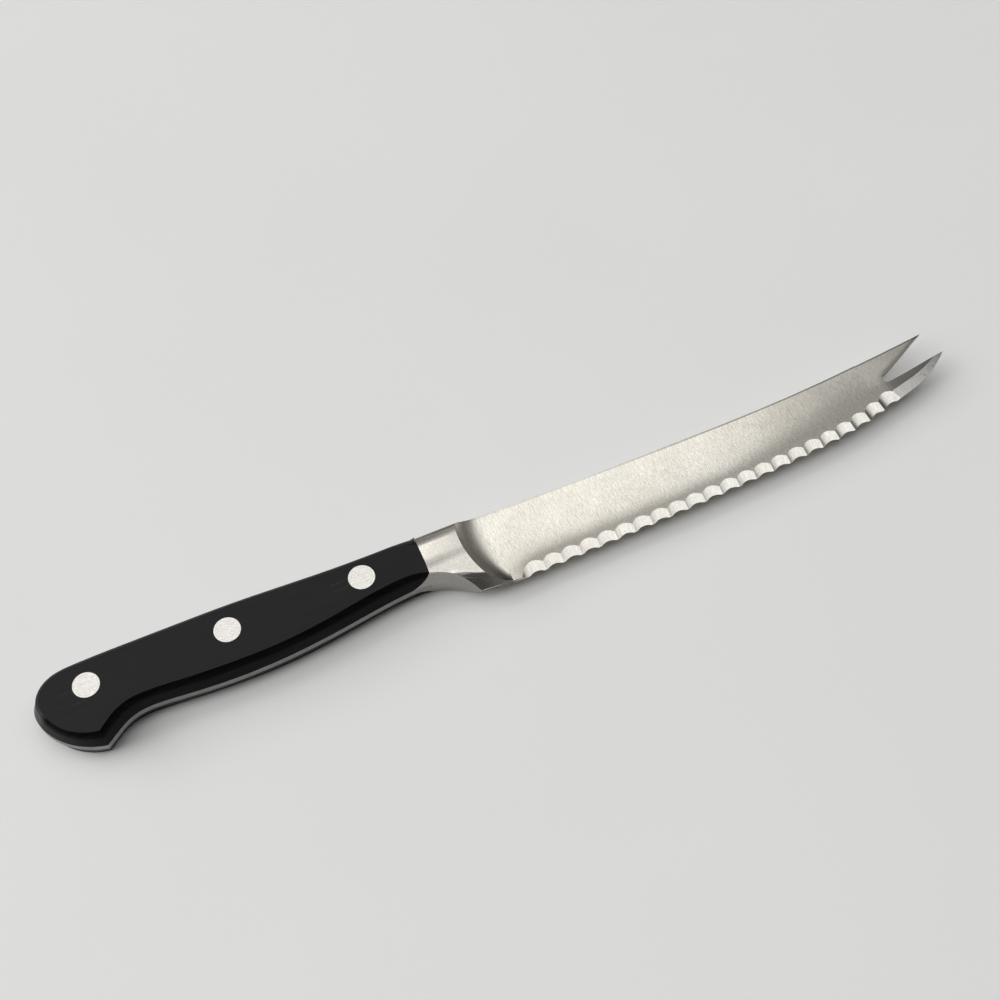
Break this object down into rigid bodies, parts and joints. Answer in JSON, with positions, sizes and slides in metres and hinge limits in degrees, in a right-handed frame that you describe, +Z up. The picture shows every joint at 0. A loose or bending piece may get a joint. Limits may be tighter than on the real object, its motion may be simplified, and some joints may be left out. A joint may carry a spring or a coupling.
{
  "type": "tomato knife",
  "caption": "Serrated tomato knife with a forked tip, a forged half bolster and riveted dark scales on a full tang.",
  "frame": {"origin": "where the middle rivet's axis meets the flat of the lower scale, on which the knife lies", "axes": "+X along the handle to the tip, +Y to the spine, +Z up, out of the knife's right side"},
  "size_m": [0.2522, 0.0252, 0.0108],
  "materials": {
    "blade_steel": "blade brushed across, bolster satin polished",
    "scale": "fine satin, faint lengthwise rub marks",
    "rivet": "bright, ground flush"
  },
  "bodies": {
    "root": {"blade_forging": "blade_steel", "scale_right": "scale", "scale_left": "scale", "rivet_rear_socket": "rivet", "rivet_rear_pin": "rivet", "rivet_middle_socket": "rivet", "rivet_middle_pin": "rivet", "rivet_front_socket": "rivet", "rivet_front_pin": "rivet"}
  },
  "joints": []
}
